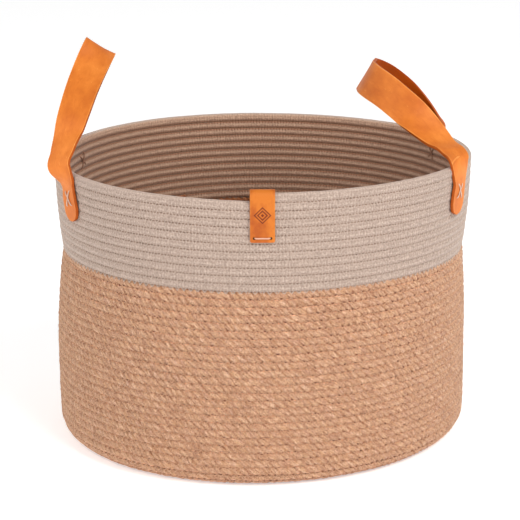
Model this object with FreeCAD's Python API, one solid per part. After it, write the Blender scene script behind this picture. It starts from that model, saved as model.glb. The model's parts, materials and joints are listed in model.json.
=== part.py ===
import FreeCAD, Part
import math
import os

# Round storage bin sewn from coiled rope: a jute base and lower wall, a cotton upper wall,
# two leather strap handles and a folded leather label.
# Millimetres. Origin at the centre of the underside, +Z up, +X through the right handle,
# -Y through the label.

os.makedirs("parts", exist_ok=True)
Vec = FreeCAD.Vector
UP = Vec(0, 0, 1)

# Ropes and rows
JUTE_PITCH = 7.22            # height of one sewn jute row
JUTE_HALF = 3.7              # half the jute rope's thickness
JUTE_SEAM_HALF = 2.3         # half thickness of the wall at a jute seam
JUTE_WALL_ROWS = 24
CORNER_ROWS = 2.5            # rows used up by the bend from base to wall
COTTON_PITCH = 7.8
COTTON_HALF = 4.1
COTTON_SEAM_HALF = 2.6
COTTON_ROWS = 12
JOIN_GAP = 0.2               # gap between neighbouring rope bodies

# Body shape: crest radius at the rim, and how far other heights stand in or out from it
BODY_RADIUS = 203.0
BASE_OUT = 0.6
BELLY_OUT = 1.8
SHOULDER_OUT = 0.0
WAIST_OUT = -6.3
COLLAR_OUT = -1.8
BELLY_AT = 0.38              # share of the jute wall's height
SHOULDER_AT = 0.675
COLLAR_AT = 0.46             # share of the cotton wall's height

# Straps
STRAP_HALF = 1.4             # half the leather's thickness
TAB_WIDTH = 26.0             # width at the sewn ends
GRIP_WIDTH = 33.0            # width of the loop
TAB_DROP = 45.0              # lowest point of a tab below the rim rope's centre
TAB_GAP = 0.3                # tab off the wall's crests
NECK_RISE = 9.0              # top of the sewn part above the rim rope's centre
NECK_UNDER = 2.2             # hinge line above the top of the neck
NECK_OUT = 2.3               # hinge line outside the neck's mid-plane
NECK_BOW = 3.4               # how far the neck bows out, in sagittas of the tab on the wall
NECK_STEPS = 4
TWIST_LENGTH = 32.0          # length in which the strap turns by a quarter turn
TWIST_INSET = 10.0           # how far a leg moves towards the handle's middle in that length
LOOP_RISE = 106.0            # hinge line to the tip of the loop
TIP_RADIUS = 7.0             # bend of the strap's mid-line at the tip
TWIST_STEPS = 6

# Each handle: azimuth of its middle, half angle between its tabs, slant of the tabs, lean inward
HANDLES = {
    "right": (-0.1, 26.8, 8.0, 54.0),
    "left": (183.7, 23.8, 14.0, 19.0),
}

# Cross stitches that hold the tabs
THREAD_HALF = 0.6
STITCH_HALF_WIDTH = 6.0
STITCH_HALF_HEIGHT = 7.0
STITCH_DROP = 24.0           # centre of a cross below the rim rope's centre
THREAD_GAP = 0.2             # thread off the surface it lies on
HOLE_GAP = 0.25              # hole wall off the thread

# Label
LABEL_WIDTH = 22.6
LABEL_THICK = 1.6
LABEL_DROP = 40.0            # both ends of the label below the rim rope's centre
LABEL_GAP = 0.3
LABEL_AZIMUTH = -90.0
LABEL_STEPS = 5
LABEL_HOLE_HALF = 1.1
LABEL_HOLE_SPACING = 14.9
LABEL_HOLE_RISE = 3.6        # hole centres above the label's lower edge
LABEL_THREAD_HALF = 0.5
CUT_OVER = 2.0               # how far a hole cutter reaches past what it cuts

# Heights and radii that follow
corner_bend = CORNER_ROWS * JUTE_PITCH * 2 / math.pi
wall_start = JUTE_HALF + corner_bend
seam_height = wall_start + (JUTE_WALL_ROWS - 0.5) * JUTE_PITCH
cotton_start = seam_height + JOIN_GAP
cotton_height = COTTON_ROWS * COTTON_PITCH
rim_z = cotton_start + cotton_height - COTTON_PITCH / 2
base_radius = BODY_RADIUS + BASE_OUT - JUTE_HALF - corner_bend
base_rings = round(base_radius / JUTE_PITCH)
neck_bow = NECK_BOW * TAB_WIDTH ** 2 / (8 * BODY_RADIUS)

jute_height = seam_height - wall_start
jute_profile = [
    (wall_start, BODY_RADIUS + BASE_OUT),
    (wall_start + BELLY_AT * jute_height, BODY_RADIUS + BELLY_OUT),
    (wall_start + SHOULDER_AT * jute_height, BODY_RADIUS + SHOULDER_OUT),
    (seam_height, BODY_RADIUS + WAIST_OUT),
]
cotton_profile = [
    (seam_height, BODY_RADIUS + WAIST_OUT),
    (seam_height + COLLAR_AT * cotton_height, BODY_RADIUS + COLLAR_OUT),
    (seam_height + cotton_height, BODY_RADIUS),
]


def smooth_value(points, height):
    """Radius at a height on the smooth curve through the given points."""
    total = 0.0
    for i, (hi, ri) in enumerate(points):
        weight = 1.0
        for j, (hj, rj) in enumerate(points):
            if i != j:
                weight *= (height - hj) / (hi - hj)
        total += weight * ri
    return total


def crest_radius(height):
    """Outer radius of the wall, over the crests of the rows."""
    if height < seam_height:
        return smooth_value(jute_profile, height)
    return smooth_value(cotton_profile, height)


def wall_slope(height):
    """Change of the crest radius per millimetre of height."""
    step = 1.0
    return (crest_radius(height + step / 2) - crest_radius(height - step / 2)) / step


def wall_row(height, half):
    """Centre and outward normal of a row in the wall, as (r, z, nr, nz)."""
    slope = wall_slope(height)
    length = math.hypot(1.0, slope)
    return (crest_radius(height) - half, height, 1.0 / length, -slope / length)


def corner_row(travel):
    """Centre and outward normal of a row in the bend from base to wall."""
    angle = travel / corner_bend
    return (
        base_radius + corner_bend * math.sin(angle),
        wall_start - corner_bend * math.cos(angle),
        math.sin(angle),
        -math.cos(angle),
    )


def flat_point(row, out, along):
    """Point of the r-z half plane at given distances out from and along a row."""
    r, z, nr, nz = row
    return Vec(r + nr * out - nz * along, 0, z + nz * out + nr * along)


def between(row_a, row_b):
    """Row half way between two rows."""
    r, z, nr, nz = [(a + b) / 2 for a, b in zip(row_a, row_b)]
    length = math.hypot(nr, nz)
    return (r, z, nr / length, nz / length)


def arc_edge(start, middle, end):
    return Part.Arc(start, middle, end).toShape()


def line_edge(start, end):
    return Part.LineSegment(start, end).toShape()


def row_arcs(rows, valleys, half, seam_half):
    """Arcs over the crests of the rows, from valley to valley, on one side of the wall."""
    edges = []
    for row, low, high in zip(rows, valleys[:-1], valleys[1:]):
        start = flat_point(low, seam_half, 0)
        end = flat_point(high, seam_half, 0)
        edges.append(arc_edge(start, flat_point(row, half, 0), end))
    return edges


def spin(edges, angle=360.0, from_azimuth=0.0):
    """Solid of revolution about Z from a closed profile in the XZ plane."""
    face = Part.Face(Part.Wire(Part.__sortEdges__(edges)))
    face.rotate(Vec(0, 0, 0), UP, from_azimuth)
    return face.revolve(Vec(0, 0, 0), UP, angle)


def level_row(height, half):
    """Middle of the wall at a height, for a level end of a rope body."""
    return (crest_radius(height) - half, height, 1.0, 0.0)


def make_base():
    """Flat spiral floor: level underneath, one ridge per turn on top."""
    edge_r = base_radius - JOIN_GAP
    ring = edge_r / base_rings
    seam_z = JUTE_HALF + JUTE_SEAM_HALF
    edges = [
        line_edge(Vec(0, 0, seam_z), Vec(0, 0, 0)),
        line_edge(Vec(0, 0, 0), Vec(edge_r, 0, 0)),
        line_edge(Vec(edge_r, 0, 0), Vec(edge_r, 0, seam_z)),
    ]
    for i in range(base_rings):
        start = Vec(i * ring, 0, seam_z)
        crest = Vec((i + 0.5) * ring, 0, 2 * JUTE_HALF)
        edges.append(arc_edge(start, crest, Vec((i + 1) * ring, 0, seam_z)))
    return spin(edges)


def make_jute_wall():
    """Rows of jute rope from the bend at the base up to the cotton."""
    rows = []
    for i in range(int(CORNER_ROWS)):
        rows.append(corner_row((i + 0.5) * JUTE_PITCH))
    for i in range(JUTE_WALL_ROWS):
        rows.append(wall_row(wall_start + i * JUTE_PITCH, JUTE_HALF))
    valleys = [corner_row(0.0)]
    for low, high in zip(rows[:-1], rows[1:]):
        valleys.append(between(low, high))
    valleys.append(level_row(seam_height, JUTE_HALF))
    outer = row_arcs(rows, valleys, JUTE_HALF, JUTE_SEAM_HALF)
    inner = row_arcs(rows, valleys, -JUTE_HALF, -JUTE_SEAM_HALF)
    ends = []
    for row in (valleys[0], valleys[-1]):
        ends.append(line_edge(flat_point(row, -JUTE_SEAM_HALF, 0), flat_point(row, JUTE_SEAM_HALF, 0)))
    return spin(outer + inner + ends)


def make_cotton_wall():
    """Rows of cotton rope, the top one fully round as the rim."""
    rows = []
    for i in range(COTTON_ROWS):
        rows.append(wall_row(cotton_start + (i + 0.5) * COTTON_PITCH, COTTON_HALF))
    valleys = [level_row(cotton_start, COTTON_HALF)]
    for low, high in zip(rows[:-1], rows[1:]):
        valleys.append(between(low, high))
    lower = rows[:-1]
    edges = row_arcs(lower, valleys, COTTON_HALF, COTTON_SEAM_HALF)
    edges += row_arcs(lower, valleys, -COTTON_HALF, -COTTON_SEAM_HALF)
    start = valleys[0]
    edges.append(
        line_edge(flat_point(start, -COTTON_SEAM_HALF, 0), flat_point(start, COTTON_SEAM_HALF, 0))
    )
    rim = rows[-1]
    half_way = COTTON_HALF * math.sqrt(0.5)
    top = flat_point(rim, 0, COTTON_HALF)
    for side in (1, -1):
        seam = flat_point(valleys[-1], side * COTTON_SEAM_HALF, 0)
        crest = flat_point(rim, side * COTTON_HALF, 0)
        shoulder = flat_point(rim, side * half_way, half_way)
        edges.append(line_edge(seam, crest))
        edges.append(arc_edge(crest, shoulder, top))
    return spin(edges)


def section(centre, width_dir, thick_dir, width, half):
    """Rectangular strap section as a closed wire."""
    a = width_dir * (width / 2)
    b = thick_dir * half
    return Part.makePolygon([
        centre + a + b,
        centre - a + b,
        centre - a - b,
        centre + a - b,
        centre + a + b,
    ])


def shell_band(low, high, inner_gap, thick):
    """Full ring that follows the wall's crests at a gap, with the given thickness."""
    inner = []
    outer = []
    for i in range(LABEL_STEPS + 1):
        z = low + (high - low) * i / LABEL_STEPS
        crest = crest_radius(z)
        inner.append(Vec(crest + inner_gap, 0, z))
        outer.append(Vec(crest + inner_gap + thick, 0, z))
    points = inner + outer[::-1] + [inner[0]]
    return Part.Face(Part.makePolygon(points)).revolve(Vec(0, 0, 0), UP, 360)


def tab_angles(handle, side):
    """Local azimuth of a tab's cross stitch, and of its upper end."""
    middle, half_angle, slant, lean = HANDLES[handle]
    shift = STITCH_DROP * math.tan(math.radians(slant)) / BODY_RADIUS
    return side * half_angle, side * (half_angle - math.degrees(shift))


def hinge_line(handle):
    """Radius and height of a handle's hinge line, and half the distance between its necks."""
    neck_angle = math.radians(tab_angles(handle, 1)[1])
    neck_radius = BODY_RADIUS + TAB_GAP + STRAP_HALF
    rise = rim_z + NECK_RISE + NECK_UNDER
    return neck_radius * math.cos(neck_angle) + NECK_OUT, rise, neck_radius * math.sin(neck_angle)


def stitch_frame(angle):
    """Point on the crests at a cross stitch, with its tangent, upward and outward directions."""
    z = rim_z - STITCH_DROP
    a = math.radians(angle)
    radial = Vec(math.cos(a), math.sin(a), 0)
    tangent = Vec(-math.sin(a), math.cos(a), 0)
    upward = (radial * wall_slope(z) + UP).normalize()
    outward = tangent.cross(upward)
    return radial * crest_radius(z) + UP * z, tangent, upward, outward


def stitch_corners(angle, slant):
    """The four points of the cross in the crest surface, in order round it."""
    origin, tangent, upward, outward = stitch_frame(angle)
    s = math.radians(slant)
    across = tangent * math.cos(s) - upward * math.sin(s)
    along = tangent * math.sin(s) + upward * math.cos(s)
    corners = []
    for i, j in ((1, 1), (-1, 1), (-1, -1), (1, -1)):
        corners.append(origin + across * (i * STITCH_HALF_WIDTH) + along * (j * STITCH_HALF_HEIGHT))
    return corners, outward


def rod(start, end, half):
    """Round thread between two points with round ends."""
    direction = end - start
    body = Part.makeCylinder(half, direction.Length, start, direction)
    return body.fuse([Part.makeSphere(half, start), Part.makeSphere(half, end)])


def stitch_levels():
    """Distances out from the crests of the thread outside and inside the wall."""
    outside = TAB_GAP + 2 * STRAP_HALF + THREAD_GAP + THREAD_HALF
    inside = -2 * COTTON_HALF - 2 * THREAD_GAP - THREAD_HALF
    return outside, inside


def make_cross_stitch(angle, slant):
    """One thread: a cross outside, a cross inside and four legs through tab and wall."""
    corners, outward = stitch_corners(angle, slant)
    outside, inside = stitch_levels()
    rods = []
    for level in (outside, inside):
        for i, j in ((0, 2), (1, 3)):
            rods.append(rod(corners[i] + outward * level, corners[j] + outward * level, THREAD_HALF))
    for corner in corners:
        rods.append(rod(corner + outward * inside, corner + outward * outside, THREAD_HALF))
    return rods[0].fuse(rods[1:])


def stitch_holes(angle, slant):
    corners, outward = stitch_corners(angle, slant)
    outside, inside = stitch_levels()
    reach = outside - inside + 2 * CUT_OVER
    holes = []
    for corner in corners:
        start = corner + outward * (inside - CUT_OVER)
        holes.append(Part.makeCylinder(THREAD_HALF + HOLE_GAP, reach, start, outward))
    return holes


def make_tab(handle, side):
    """Sewn end of a strap with a round lower end, and its neck up to the hinge line."""
    slant = HANDLES[handle][2] * -side
    stitch_angle = tab_angles(handle, side)[0]
    neck_x, neck_z, neck_y = hinge_line(handle)
    half_width = TAB_WIDTH / 2
    low = rim_z - TAB_DROP
    pivot_z = rim_z - STITCH_DROP
    band = shell_band(low - half_width, rim_z + COTTON_HALF, TAB_GAP, 2 * STRAP_HALF)
    inside_x = BODY_RADIUS / 2
    outline = Part.Wire([
        line_edge(Vec(inside_x, half_width, low + half_width), Vec(inside_x, half_width, rim_z)),
        line_edge(Vec(inside_x, half_width, rim_z), Vec(inside_x, -half_width, rim_z)),
        line_edge(Vec(inside_x, -half_width, rim_z), Vec(inside_x, -half_width, low + half_width)),
        arc_edge(
            Vec(inside_x, -half_width, low + half_width),
            Vec(inside_x, 0, low),
            Vec(inside_x, half_width, low + half_width),
        ),
    ])
    prism = Part.Face(outline).extrude(Vec(BODY_RADIUS, 0, 0))
    prism.rotate(Vec(0, 0, pivot_z), Vec(1, 0, 0), -slant)
    prism.rotate(Vec(0, 0, 0), UP, stitch_angle)
    tab = band.common(prism)
    # Neck: from the slanted top of the tab to a section along the hinge line
    origin, tangent, upward, outward = stitch_frame(stitch_angle)
    s = math.radians(slant)
    across = tangent * math.cos(s) - upward * math.sin(s)
    along = tangent * math.sin(s) + upward * math.cos(s)
    mid_out = TAB_GAP + STRAP_HALF
    root = origin + outward * mid_out + along * (STITCH_DROP - STRAP_HALF)
    top = Vec(neck_x - NECK_OUT, side * neck_y, neck_z - NECK_UNDER)
    sections = []
    for i in range(NECK_STEPS + 1):
        f = i / NECK_STEPS
        turn = f * f * (3 - 2 * f)
        width_dir = (across * (1 - turn) + Vec(0, 1, 0) * turn).normalize()
        thick_dir = (outward * (1 - turn) + Vec(1, 0, 0) * turn).normalize()
        thick_dir = (thick_dir - width_dir * thick_dir.dot(width_dir)).normalize()
        centre = root * (1 - f) + top * f + outward * (math.sin(math.pi * f) * neck_bow)
        sections.append(section(centre, width_dir, thick_dir, TAB_WIDTH, STRAP_HALF))
    neck = Part.makeLoft(sections, True, True)
    return tab.fuse(neck).cut(stitch_holes(stitch_angle, slant))


def mirrored(point):
    return Vec(point.x, -point.y, point.z)


def make_loop(handle):
    """Loop of strap on edge, with both ends turned flat to the hinge line."""
    lean = HANDLES[handle][3]
    hinge_x, hinge_z, reach = hinge_line(handle)
    leg_y = reach - TWIST_INSET
    leg_z = TWIST_LENGTH
    tip_z = LOOP_RISE - TIP_RADIUS
    # Tangent from the end of the twist to the circle at the tip
    span = math.hypot(leg_y, tip_z - leg_z)
    to_centre = math.atan2(leg_y, tip_z - leg_z)
    leg_angle = to_centre - math.asin(TIP_RADIUS / span)
    run = Vec(0, -math.sin(leg_angle), math.cos(leg_angle))
    side_out = Vec(0, math.cos(leg_angle), math.sin(leg_angle))
    leg_start = Vec(0, leg_y, leg_z)
    leg_end = Vec(0, 0, tip_z) + side_out * TIP_RADIUS
    outer = []
    inner = []
    for half, points in ((STRAP_HALF, outer), (-STRAP_HALF, inner)):
        points.append(leg_start + side_out * half)
        points.append(leg_end + side_out * half)
    tip_out = Vec(0, 0, LOOP_RISE + STRAP_HALF)
    tip_in = Vec(0, 0, LOOP_RISE - STRAP_HALF)
    edges = [
        line_edge(outer[0], outer[1]),
        arc_edge(outer[1], tip_out, mirrored(outer[1])),
        line_edge(mirrored(outer[1]), mirrored(outer[0])),
        line_edge(mirrored(outer[0]), mirrored(inner[0])),
        line_edge(mirrored(inner[0]), mirrored(inner[1])),
        arc_edge(mirrored(inner[1]), tip_in, inner[1]),
        line_edge(inner[1], inner[0]),
        line_edge(inner[0], outer[0]),
    ]
    face = Part.Face(Part.Wire(edges))
    face.translate(Vec(-GRIP_WIDTH / 2, 0, 0))
    pieces = [face.extrude(Vec(GRIP_WIDTH, 0, 0))]
    for side in (1, -1):
        start = Vec(0, side * reach, 0)
        end = Vec(0, side * leg_y, leg_z)
        end_run = Vec(0, side * run.y, run.z)
        sections = []
        for i in range(TWIST_STEPS + 1):
            f = i / TWIST_STEPS
            h1 = 1 - 3 * f * f + 2 * f ** 3
            h2 = f - 2 * f * f + f ** 3
            h3 = f ** 3 - f * f
            centre = start * h1 + end * (1 - h1)
            centre = centre + UP * (h2 * leg_z) + end_run * (h3 * leg_z)
            direction = (UP * (1 - f) + end_run * f).normalize()
            inward = Vec(0, -side * direction.z, side * direction.y)
            turn = math.pi / 2 * f * f * (3 - 2 * f)
            width_dir = inward * math.cos(turn) + Vec(1, 0, 0) * math.sin(turn)
            thick_dir = direction.cross(width_dir)
            width = TAB_WIDTH + (GRIP_WIDTH - TAB_WIDTH) * f
            sections.append(section(centre, width_dir, thick_dir, width, STRAP_HALF))
        pieces.append(Part.makeLoft(sections, True, False))
        bead_start = Vec(0, side * reach - TAB_WIDTH / 2, 0)
        pieces.append(Part.makeCylinder(STRAP_HALF, TAB_WIDTH, bead_start, Vec(0, 1, 0)))
    loop = pieces[0].fuse(pieces[1:])
    loop.rotate(Vec(0, 0, 0), Vec(0, 1, 0), -lean)
    loop.translate(Vec(hinge_x, 0, hinge_z))
    return loop


def label_hole_points():
    """Centres of the label's two holes on the crest surface, and the outward direction."""
    z = rim_z - LABEL_DROP + LABEL_HOLE_RISE
    a = math.radians(LABEL_AZIMUTH)
    radial = Vec(math.cos(a), math.sin(a), 0)
    tangent = Vec(-math.sin(a), math.cos(a), 0)
    centre = radial * crest_radius(z) + UP * z
    half = LABEL_HOLE_SPACING / 2
    return [centre - tangent * half, centre + tangent * half], radial


def label_stitch_levels():
    """Distances out from the crests of the thread bars outside and inside the wall."""
    outside = LABEL_GAP + LABEL_THICK + THREAD_GAP + LABEL_THREAD_HALF
    inside = -2 * COTTON_HALF - LABEL_GAP - LABEL_THICK - 2 * THREAD_GAP - LABEL_THREAD_HALF
    return outside, inside


def label_holes(half):
    points, radial = label_hole_points()
    outside, inside = label_stitch_levels()
    reach = outside - inside + 2 * CUT_OVER
    start = radial * (inside - CUT_OVER)
    return [Part.makeCylinder(half, reach, p + start, radial) for p in points]


def make_label():
    """Leather strip folded over the rim, one leg outside and one inside."""
    low = rim_z - LABEL_DROP
    near = LABEL_GAP
    far = LABEL_GAP + LABEL_THICK
    heights = [low + (rim_z - low) * i / LABEL_STEPS for i in range(LABEL_STEPS + 1)]
    rim_r = crest_radius(rim_z) - COTTON_HALF
    edges = []
    for side in (1, -1):
        for offset in (near, far):
            line = []
            for z in heights:
                centre = crest_radius(z) - COTTON_HALF
                line.append(Vec(centre + side * (COTTON_HALF + offset), 0, z))
            for start, end in zip(line[:-1], line[1:]):
                edges.append(line_edge(start, end))
        centre = crest_radius(low) - COTTON_HALF
        edges.append(line_edge(
            Vec(centre + side * (COTTON_HALF + near), 0, low),
            Vec(centre + side * (COTTON_HALF + far), 0, low),
        ))
    for offset in (near, far):
        reach = COTTON_HALF + offset
        edges.append(arc_edge(
            Vec(rim_r + reach, 0, rim_z),
            Vec(rim_r, 0, rim_z + reach),
            Vec(rim_r - reach, 0, rim_z),
        ))
    spread = math.degrees(LABEL_WIDTH / BODY_RADIUS)
    return spin(edges, spread, LABEL_AZIMUTH - spread / 2).cut(label_holes(LABEL_HOLE_HALF))


def make_label_stitch():
    """Thread through the label's two holes and the wall, with a bar outside and one inside."""
    points, radial = label_hole_points()
    outside, inside = label_stitch_levels()
    rods = []
    for level in (outside, inside):
        rods.append(rod(points[0] + radial * level, points[1] + radial * level, LABEL_THREAD_HALF))
    for p in points:
        rods.append(rod(p + radial * inside, p + radial * outside, LABEL_THREAD_HALF))
    return rods[0].fuse(rods[1:])


def save(name, shape):
    shape.exportStep("parts/" + name + ".step")


cotton = make_cotton_wall()
wall_holes = label_holes(LABEL_THREAD_HALF + HOLE_GAP)
for handle, (middle, half_angle, slant, lean) in HANDLES.items():
    loop = make_loop(handle)
    loop.rotate(Vec(0, 0, 0), UP, middle)
    save("strap_" + handle + "_loop", loop)
    for side, place in ((-1, "front"), (1, "back")):
        if handle == "left":
            place = {"front": "back", "back": "front"}[place]
        angle = tab_angles(handle, side)[0]
        tab = make_tab(handle, side)
        stitch = make_cross_stitch(angle, slant * -side)
        holes = stitch_holes(angle, slant * -side)
        for shape in [tab, stitch] + holes:
            shape.rotate(Vec(0, 0, 0), UP, middle)
        save("strap_" + handle + "_tab_" + place, tab)
        save("stitch_" + handle + "_" + place, stitch)
        wall_holes += holes
save("jute_base", make_base())
save("jute_wall", make_jute_wall())
save("cotton_wall", cotton.cut(wall_holes))
save("label", make_label())
save("label_stitch", make_label_stitch())
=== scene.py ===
"""Round storage bin sewn from coiled jute and cotton rope, with leather strap handles and a label."""
import json
import math

from collections import namedtuple

import bpy
from mathutils import Matrix, Vector


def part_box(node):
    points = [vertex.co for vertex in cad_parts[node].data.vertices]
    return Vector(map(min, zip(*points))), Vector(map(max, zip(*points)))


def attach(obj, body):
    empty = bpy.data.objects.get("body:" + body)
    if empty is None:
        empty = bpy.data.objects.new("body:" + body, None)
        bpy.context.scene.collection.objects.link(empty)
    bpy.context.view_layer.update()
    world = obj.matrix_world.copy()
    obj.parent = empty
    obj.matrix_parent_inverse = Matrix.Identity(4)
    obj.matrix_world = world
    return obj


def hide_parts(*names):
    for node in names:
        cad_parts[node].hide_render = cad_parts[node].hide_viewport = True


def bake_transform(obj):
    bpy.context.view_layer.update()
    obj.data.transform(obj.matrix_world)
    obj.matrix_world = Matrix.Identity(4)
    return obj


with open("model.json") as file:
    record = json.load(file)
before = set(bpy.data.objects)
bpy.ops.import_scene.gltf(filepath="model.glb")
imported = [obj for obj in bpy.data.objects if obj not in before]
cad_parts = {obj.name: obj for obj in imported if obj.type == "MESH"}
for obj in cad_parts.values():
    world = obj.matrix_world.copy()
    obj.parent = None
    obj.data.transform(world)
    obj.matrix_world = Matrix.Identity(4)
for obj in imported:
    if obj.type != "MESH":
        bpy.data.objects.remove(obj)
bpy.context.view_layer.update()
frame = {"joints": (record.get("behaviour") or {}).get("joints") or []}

MM = 0.001

# ---------------------------------------------------------------- sizes, in metres
JUTE_PITCH = 7.22 * MM          # one sewn row of jute
COTTON_PITCH = 7.68 * MM        # one sewn row of cotton
JUTE_HALF = 4.5 * MM            # half the jute rope's thickness, before its rows press together
COTTON_HALF = 4.4 * MM
RIM_HALF = 4.3 * MM             # half thickness of the rim row, which only presses downward
STRANDS = 3                     # strands laid up in the jute rope
STRAND_SIDES = 5                # corners of the outline along each strand
STRAND_GROOVE = 0.30            # depth between strands, as a share of half the rope's thickness
COTTON_SQUARE = 0.75            # below 1 the cotton's outline is squarer than round
JUTE_LAY = 22.5 * MM            # length of one full twist of the jute rope
COTTON_TURNS = 11.57            # turns of cotton above the jute
COTTON_END = math.radians(-90.0)   # azimuth of the cotton's cut end, under the label
BRAID_LENGTH = 5.8 * MM         # repeat of the cotton braid along the rope
BRAID_AROUND = 4.0              # and its repeats round the rope
HOLE_PITCH = 3.3 * MM           # stitch holes along the seams inside
CORNER_ROWS = 3.2               # rows in the bend from floor to wall
WALL_RINGS = 11                 # mesh rings in one twist of the wall's jute rope
FLOOR_RINGS = 8
JUTE_STEP = math.radians(2.5)   # turning angle between two points of the jute rope's path
JUTE_SEAM_STEP = math.radians(3)
COTTON_STEPS = 120              # points in one turn of the cotton rope's path
COTTON_SIDES = 16
COTTON_RING = 4.0 * MM          # between two mesh rings of the cotton rope
COTTON_PARTS = 10               # equal lengths that it is repeated from
JUTE_SLACK = (1.0 * MM, 5 * MM)     # uneven thickness of the rope, and the size of its bulges
COTTON_SLACK = (0.35 * MM, 12 * MM)

# Seam threads: place from the rope's middle as a share of its half thickness, outside and inside,
# height and half length of a zigzag, half thickness
COTTON_SEAM_OUT, COTTON_SEAM_IN = 0.74, -0.62
COTTON_SEAM_RISES = {"outside": 2.2 * MM, "inside": 1.0 * MM}
COTTON_SEAM_STEP = 3.3 * MM
COTTON_SEAM_HALF = 0.85 * MM
JUTE_SEAM_OUT, JUTE_SEAM_IN = 0.64, -0.56
JUTE_SEAM_RISE = 1.3 * MM
JUTE_ZIGZAG = 2.8 * MM
JUTE_SEAM_HALF = 0.75 * MM

STRAP_THICK = 2.8 * MM
TAB_WIDTH = 25.4 * MM
TAB_DROPS = {"right": 43.0 * MM, "left": 45.0 * MM}   # foot of a tab below the rim rope's centre
TAB_GAP = 0.9 * MM
TAB_STATIONS = (34 * MM, 22 * MM, 11 * MM)            # drops between its foot and the neck
TAB_PIVOT = 24.0 * MM           # drop at which a slanted tab has its stated azimuth
STRAP_ROW = 1.6 * MM            # between two mesh rows of a strap
STRAP_COLUMNS = 12
SKIVING = 0.22                  # rounding of cut edges, as a share of the leather's thickness
CREASE_TRAVEL = 56.0 * MM       # crease in a strap, from the foot of its tab
CREASE_SLANT = 0.35
CROSS_WIDTH = 10.0 * MM
CROSS_HEIGHT = 14.0 * MM
CROSS_THREAD = 0.85 * MM        # thickness of its thread
CROSS_SPREAD = 0.45 * MM        # each arm is two threads, this far from the arm's middle
CROSS_PROUD = 0.35 * MM         # thread's middle above the leather outside
CROSS_PROUD_INSIDE = 0.3 * MM   # and above the ropes inside
CROSS_OVER = 0.4 * MM           # one arm passes over the other
CROSS_SUNK = 0.8 * MM           # the arms' ends go into their holes
LABEL_DROP = 40.0 * MM
LABEL_THICK = 1.6 * MM
LABEL_WIDTH = 22.3 * MM
LABEL_CORNER = 1.2 * MM
LABEL_ROW = 1.0 * MM            # between two mesh rows of the label
LABEL_COLUMNS = 16
LABEL_GAP = 0.3 * MM
LABEL_AZIMUTH = -90.4
LABEL_LIFT = 1.8 * MM           # the fold stands off the rim
LABEL_HOLE_HALF = 1.25 * MM
LABEL_HOLE_SPACING = 14.9 * MM
LABEL_HOLE_RISE = 3.6 * MM      # hole centres from the label's ends
LABEL_THREAD_HALF = 0.65 * MM
MARK_HALF = 8.0 * MM            # half the height and width of the label's burnt mark
MARK_RISE = 25.5 * MM           # its middle above the label's lower edge

RIM_SHIFT = 5.2 * MM            # the soft wall leans this far towards the right over its height
RIM_DIP = 0.020                 # and its rim is lower on the right by this slope
RIM_OVAL = 0.006                # and slightly wider than deep
RIM_WARP = 0.06                 # its right front and left back quarters stand up, per metre of x, y
FRONT_SAG = 1.4 * MM            # it hangs a little at the label
FRONT_LEFT_LIFT = 4.4 * MM      # but stands up between the label and the left handle
BACK_LIFT = 3.4 * MM            # the rows run higher halfway up the back
RIGHT_PRESS = 3.8 * MM          # the belly is flatter on the right
PRESS_AT = 0.30                 # most of all here, as a share of the whole height
PRESS_REACH = 0.36
FLOOR_START = 0.6 * MM          # the floor coil starts this far from its middle
FLOOR_KNOT = 4.0 * MM           # radius of the knot of thread there
BELLY_SHARE = 0.38              # height of the belly, as a share of the jute wall's
SHOULDER_SHARE = 0.675          # and of the place above it that is as wide as the rim
COLLAR_SHARE = 0.46             # height of the collar, as a share of the cotton wall's
WANDER = 0.16 * MM              # unevenness of hand-guided sewing

frame_joints = {joint["name"]: joint["pos_m"] for joint in frame["joints"]}
jute_low, jute_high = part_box("jute_wall")
cotton_low, cotton_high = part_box("cotton_wall")
SEAM_Z = cotton_low.z
RIM_TOP = cotton_high.z
RIM_RADIUS = (cotton_high.x - cotton_low.x) / 2
BELLY_RADIUS = (jute_high.x - jute_low.x) / 2
CORNER_BEND = CORNER_ROWS * JUTE_PITCH * 2 / math.pi
WALL_START = JUTE_HALF + CORNER_BEND
WAIST_RADIUS = RIM_RADIUS - 6.3 * MM
COLLAR_RADIUS = RIM_RADIUS - 1.8 * MM
BASE_OUTER = RIM_RADIUS + 0.6 * MM
FLOOR_RADIUS = BASE_OUTER - JUTE_HALF - CORNER_BEND

# Meridian of the rope's outer crests: (height, radius) where the wall changes
JUTE_PROFILE = [
    (WALL_START, BASE_OUTER),
    (WALL_START + BELLY_SHARE * (SEAM_Z - WALL_START), BELLY_RADIUS),
    (WALL_START + SHOULDER_SHARE * (SEAM_Z - WALL_START), RIM_RADIUS),
    (SEAM_Z, WAIST_RADIUS),
]
COTTON_PROFILE = [
    (SEAM_Z, WAIST_RADIUS),
    (SEAM_Z + COLLAR_SHARE * (RIM_TOP - SEAM_Z), COLLAR_RADIUS),
    (RIM_TOP, RIM_RADIUS),
]


# ---------------------------------------------------------------- shape of the wall
def smooth_value(points, height):
    """Radius at a height on the smooth curve through a few (height, radius) points."""
    total = 0.0
    for i, (hi, ri) in enumerate(points):
        weight = 1.0
        for j, (hj, _) in enumerate(points):
            if i != j:
                weight *= (height - hj) / (hi - hj)
        total += weight * ri
    return total


def crest_radius(height):
    """Radius over the rope's crests at a height of the wall."""
    if height < SEAM_Z:
        return smooth_value(JUTE_PROFILE, height)
    return smooth_value(COTTON_PROFILE, min(height, RIM_TOP))


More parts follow.
